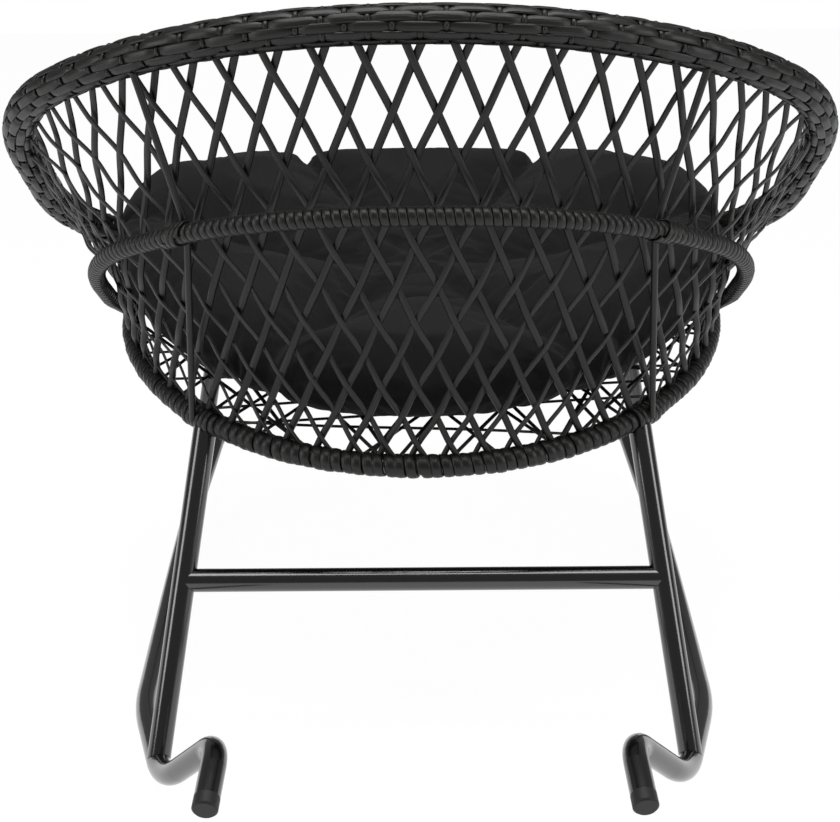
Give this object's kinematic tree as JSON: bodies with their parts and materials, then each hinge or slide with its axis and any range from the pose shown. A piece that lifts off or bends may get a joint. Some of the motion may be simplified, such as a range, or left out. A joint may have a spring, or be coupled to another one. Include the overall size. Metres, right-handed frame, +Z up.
{
  "type": "rattan rocking chair",
  "caption": "Low lounge rocking chair with a wide woven basket of crossed strands on a bent steel tube frame, curved runners and a round tufted cushion.",
  "frame": {"origin": "on the floor under the middle of the chair's bounding box", "axes": "+Z up, front of the chair towards -Y, +X to the sitter's left"},
  "size_m": [1.021, 1.1388, 0.9191],
  "materials": {
    "steel": "gloss",
    "rattan": "satin",
    "plug": "matte",
    "fabric": "matte",
    "filling": "matte"
  },
  "bodies": {
    "frame": {"seat_ring_tube": "steel", "rim_tube": "steel", "back_hoop_tube": "steel", "rear_stretcher": "steel", "back_strut_left": "steel", "back_strut_right": "steel", "rear_leg_left": "steel", "rear_leg_right": "steel", "front_leg_left": "steel", "front_leg_right": "steel", "runner_left": "steel", "runner_right": "steel", "seat_ring_wrap": "rattan", "rim_woven_sleeve": "rattan", "back_hoop_wrap": "rattan", "lattice_laid_strands": "rattan", "lattice_woven_strands": "rattan", "seat_web_cross": "rattan", "seat_web_diagonal_left": "rattan", "seat_web_diagonal_right": "rattan", "strut_binding_left": "rattan", "strut_binding_right": "rattan", "strut_lashing_left": "rattan", "strut_lashing_right": "rattan", "rear_cap_left": "plug", "rear_cap_right": "plug", "front_cap_left": "plug", "front_cap_right": "plug"},
    "cushion": {"cushion_cover": "fabric", "cushion_filling": "filling"}
  },
  "joints": [
    {"name": "cushion_lift", "type": "slide", "parent": "frame", "child": "cushion", "axis": [0, 0, 1], "range_m": [0, 0.35]}
  ]
}
